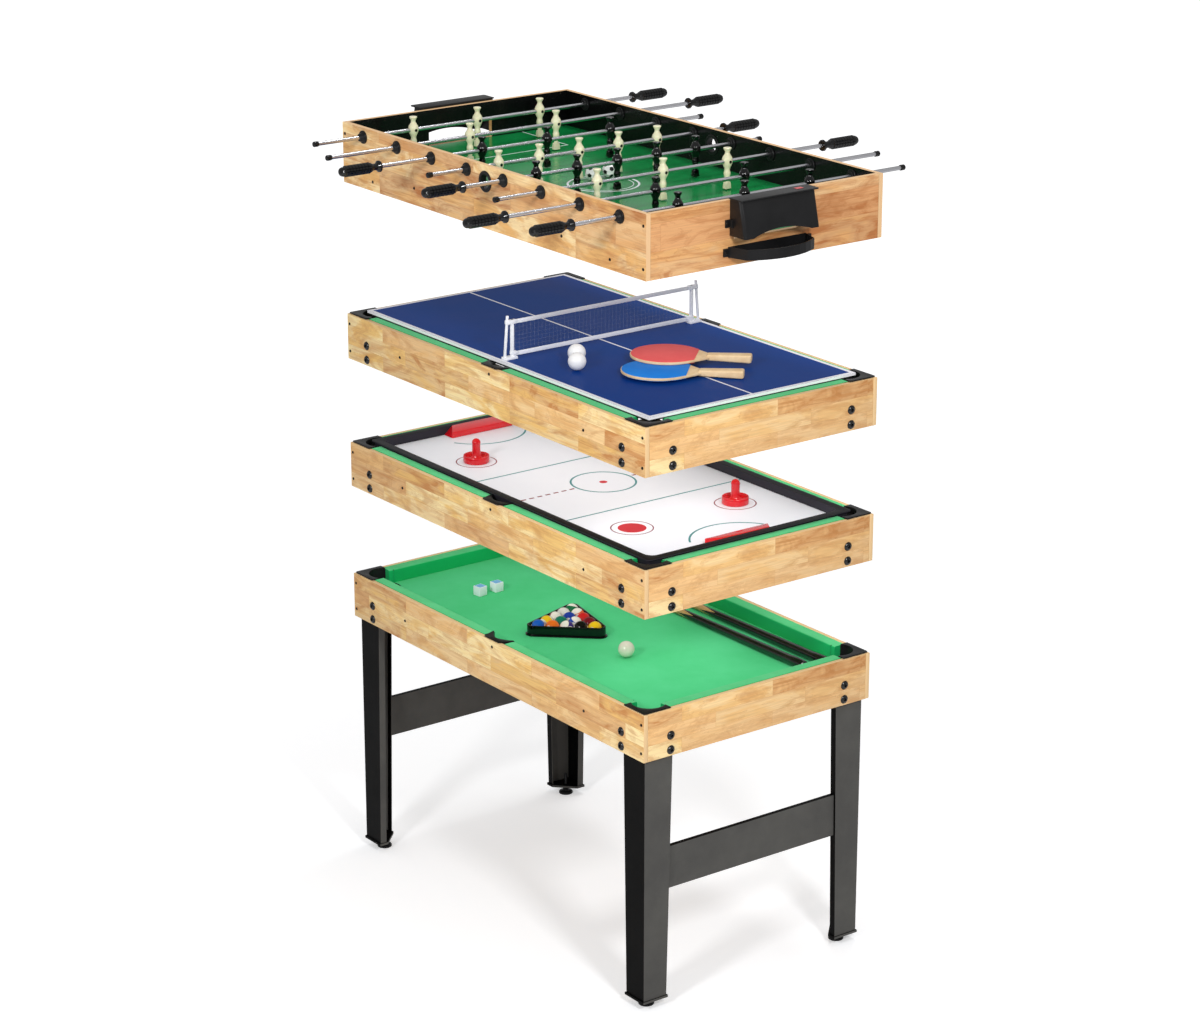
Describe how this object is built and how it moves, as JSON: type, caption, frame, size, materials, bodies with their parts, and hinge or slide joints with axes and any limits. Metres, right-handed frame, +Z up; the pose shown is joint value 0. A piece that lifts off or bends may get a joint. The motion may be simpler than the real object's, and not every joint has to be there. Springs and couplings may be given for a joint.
{
  "type": "multi game table",
  "caption": "Game table with a billiards box on legs and lift-off hockey, table tennis and foosball boxes floating above it.",
  "frame": {"origin": "on the floor, under the centre of the table", "axes": "+Z up, +X along the long side, -Y towards the near long side"},
  "size_m": [1.3752, 1.3072, 1.9355],
  "materials": {
    "block_wood": "satin laminate",
    "bed_felt": "matt cloth",
    "rail_felt": "matt cloth",
    "field_board": "glossy print",
    "navy_board": "satin paint",
    "hockey_board": "gloss",
    "leg_paint": "satin powder coat",
    "black_plastic": "satin",
    "black_players": "gloss",
    "cream_players": "gloss",
    "red_plastic": "gloss",
    "white_plastic": "satin",
    "cue_wood": "varnish",
    "paddle_red": "rubber face",
    "paddle_blue": "rubber face"
  },
  "bodies": {
    "billiards_table": {"billiards_frame": "block_wood", "billiards_bed": "bed_felt", "billiards_rim": "rail_felt", "cross_rail_left": "leg_paint", "cross_rail_right": "leg_paint", "leg_near_left": "leg_paint", "leg_near_right": "leg_paint", "leg_far_left": "leg_paint", "leg_far_right": "leg_paint"},
    "hockey_box": {"hockey_frame": "block_wood", "hockey_rim": "rail_felt", "hockey_top": "hockey_board"},
    "tennis_box": {"tennis_frame": "block_wood", "tennis_rim": "rail_felt", "tennis_board": "navy_board"},
    "foosball_box": {"foosball_side_near": "block_wood", "foosball_side_far": "block_wood", "foosball_end_left": "block_wood", "foosball_end_right": "block_wood", "foosball_field": "field_board", "goal_hood_left": "black_plastic", "goal_hood_right": "black_plastic", "ball_tray_left": "black_plastic", "ball_tray_right": "black_plastic"},
    "net": {"table_net": "white_plastic"},
    "blue_paddle": {"paddle_blue": "paddle_blue"},
    "red_paddle": {"paddle_red": "paddle_red"},
    "rack": {"ball_rack": "black_plastic"},
    "near_cue": {"cue_near": "cue_wood"},
    "far_cue": {"cue_far": "cue_wood"},
    "left_pusher": {"pusher_left": "red_plastic"},
    "right_pusher": {"pusher_right": "red_plastic"},
    "levelling_foot_near_left": {"leveller_near_left": "black_plastic"},
    "levelling_foot_near_right": {"leveller_near_right": "black_plastic"},
    "levelling_foot_far_left": {"leveller_far_left": "black_plastic"},
    "levelling_foot_far_right": {"leveller_far_right": "black_plastic"},
    "bushing_1": {"rod_bushing_1": "black_plastic"},
    "rod_1": {"foosball_rod_1": "cream_players", "rod_handle_1": "black_plastic"},
    "bushing_2": {"rod_bushing_2": "black_plastic"},
    "rod_2": {"foosball_rod_2": "cream_players", "rod_handle_2": "black_plastic"},
    "bushing_3": {"rod_bushing_3": "black_plastic"},
    "rod_3": {"foosball_rod_3": "black_players", "rod_handle_3": "black_plastic"},
    "bushing_4": {"rod_bushing_4": "black_plastic"},
    "rod_4": {"foosball_rod_4": "cream_players", "rod_handle_4": "black_plastic"},
    "bushing_5": {"rod_bushing_5": "black_plastic"},
    "rod_5": {"foosball_rod_5": "black_players", "rod_handle_5": "black_plastic"},
    "bushing_6": {"rod_bushing_6": "black_plastic"},
    "rod_6": {"foosball_rod_6": "cream_players", "rod_handle_6": "black_plastic"},
    "bushing_7": {"rod_bushing_7": "black_plastic"},
    "rod_7": {"foosball_rod_7": "black_players", "rod_handle_7": "black_plastic"},
    "bushing_8": {"rod_bushing_8": "black_plastic"},
    "rod_8": {"foosball_rod_8": "black_players", "rod_handle_8": "black_plastic"}
  },
  "joints": [
    {"name": "hockey_lift", "type": "slide", "parent": "billiards_table", "child": "hockey_box", "axis": [0, 0, 1], "range_m": [-0.23, 0]},
    {"name": "tennis_lift", "type": "slide", "parent": "hockey_box", "child": "tennis_box", "axis": [0, 0, 1], "range_m": [-0.215, 0]},
    {"name": "foosball_lift", "type": "slide", "parent": "tennis_box", "child": "foosball_box", "axis": [0, 0, 1], "range_m": [-0.24, 0]},
    {"name": "net_lift", "type": "slide", "parent": "tennis_box", "child": "net", "axis": [0, 0, 1], "range_m": [0, 0.15]},
    {"name": "blue_paddle_lift", "type": "slide", "parent": "tennis_box", "child": "blue_paddle", "axis": [0, 0, 1], "range_m": [0, 0.12]},
    {"name": "red_paddle_lift", "type": "slide", "parent": "blue_paddle", "child": "red_paddle", "axis": [0, 0, 1], "range_m": [0, 0.12]},
    {"name": "rack_lift", "type": "slide", "parent": "billiards_table", "child": "rack", "axis": [0, 0, 1], "range_m": [0, 0.15]},
    {"name": "near_cue_lift", "type": "slide", "parent": "billiards_table", "child": "near_cue", "axis": [0, 0, 1], "range_m": [0, 0.15]},
    {"name": "far_cue_lift", "type": "slide", "parent": "billiards_table", "child": "far_cue", "axis": [0, 0, 1], "range_m": [0, 0.15]},
    {"name": "left_pusher_slide", "type": "slide", "parent": "hockey_box", "child": "left_pusher", "axis": [0, 1, 0], "range_m": [-0.088, 0.398]},
    {"name": "right_pusher_slide", "type": "slide", "parent": "hockey_box", "child": "right_pusher", "axis": [0, 1, 0], "range_m": [-0.398, 0.088]},
    {"name": "foot_near_left_screw", "type": "slide", "parent": "billiards_table", "child": "levelling_foot_near_left", "axis": [0, 0, -1], "range_m": [0, 0.012]},
    {"name": "foot_near_right_screw", "type": "slide", "parent": "billiards_table", "child": "levelling_foot_near_right", "axis": [0, 0, -1], "range_m": [0, 0.012]},
    {"name": "foot_far_left_screw", "type": "slide", "parent": "billiards_table", "child": "levelling_foot_far_left", "axis": [0, 0, -1], "range_m": [0, 0.012]},
    {"name": "foot_far_right_screw", "type": "slide", "parent": "billiards_table", "child": "levelling_foot_far_right", "axis": [0, 0, -1], "range_m": [0, 0.012]},
    {"name": "rod_1_spin", "type": "hinge", "parent": "foosball_box", "child": "bushing_1", "pos_m": [-0.51613, -0.334, 1.9025], "axis": [0, 1, 0], "continuous": true},
    {"name": "rod_1_slide", "type": "slide", "parent": "bushing_1", "child": "rod_1", "axis": [0, 1, 0], "range_m": [-0.0993, 0.1093]},
    {"name": "rod_2_spin", "type": "hinge", "parent": "foosball_box", "child": "bushing_2", "pos_m": [-0.36867, -0.334, 1.9025], "axis": [0, 1, 0], "continuous": true},
    {"name": "rod_2_slide", "type": "slide", "parent": "bushing_2", "child": "rod_2", "axis": [0, 1, 0], "range_m": [-0.1656, 0.1656]},
    {"name": "rod_3_spin", "type": "hinge", "parent": "foosball_box", "child": "bushing_3", "pos_m": [-0.2212, -0.334, 1.9025], "axis": [0, 1, 0], "continuous": true},
    {"name": "rod_3_slide", "type": "slide", "parent": "bushing_3", "child": "rod_3", "axis": [0, 1, 0], "range_m": [-0.0993, 0.1093]},
    {"name": "rod_4_spin", "type": "hinge", "parent": "foosball_box", "child": "bushing_4", "pos_m": [-0.07373, -0.334, 1.9025], "axis": [0, 1, 0], "continuous": true},
    {"name": "rod_4_slide", "type": "slide", "parent": "bushing_4", "child": "rod_4", "axis": [0, 1, 0], "range_m": [-0.044, 0.078]},
    {"name": "rod_5_spin", "type": "hinge", "parent": "foosball_box", "child": "bushing_5", "pos_m": [0.07373, -0.334, 1.9025], "axis": [0, 1, 0], "continuous": true},
    {"name": "rod_5_slide", "type": "slide", "parent": "bushing_5", "child": "rod_5", "axis": [0, 1, 0], "range_m": [-0.046, 0.076]},
    {"name": "rod_6_spin", "type": "hinge", "parent": "foosball_box", "child": "bushing_6", "pos_m": [0.2212, -0.334, 1.9025], "axis": [0, 1, 0], "continuous": true},
    {"name": "rod_6_slide", "type": "slide", "parent": "bushing_6", "child": "rod_6", "axis": [0, 1, 0], "range_m": [-0.1113, 0.0973]},
    {"name": "rod_7_spin", "type": "hinge", "parent": "foosball_box", "child": "bushing_7", "pos_m": [0.36867, -0.334, 1.9025], "axis": [0, 1, 0], "continuous": true},
    {"name": "rod_7_slide", "type": "slide", "parent": "bushing_7", "child": "rod_7", "axis": [0, 1, 0], "range_m": [-0.1656, 0.1656]},
    {"name": "rod_8_spin", "type": "hinge", "parent": "foosball_box", "child": "bushing_8", "pos_m": [0.51613, -0.334, 1.9025], "axis": [0, 1, 0], "continuous": true},
    {"name": "rod_8_slide", "type": "slide", "parent": "bushing_8", "child": "rod_8", "axis": [0, 1, 0], "range_m": [-0.1143, 0.0943]}
  ]
}
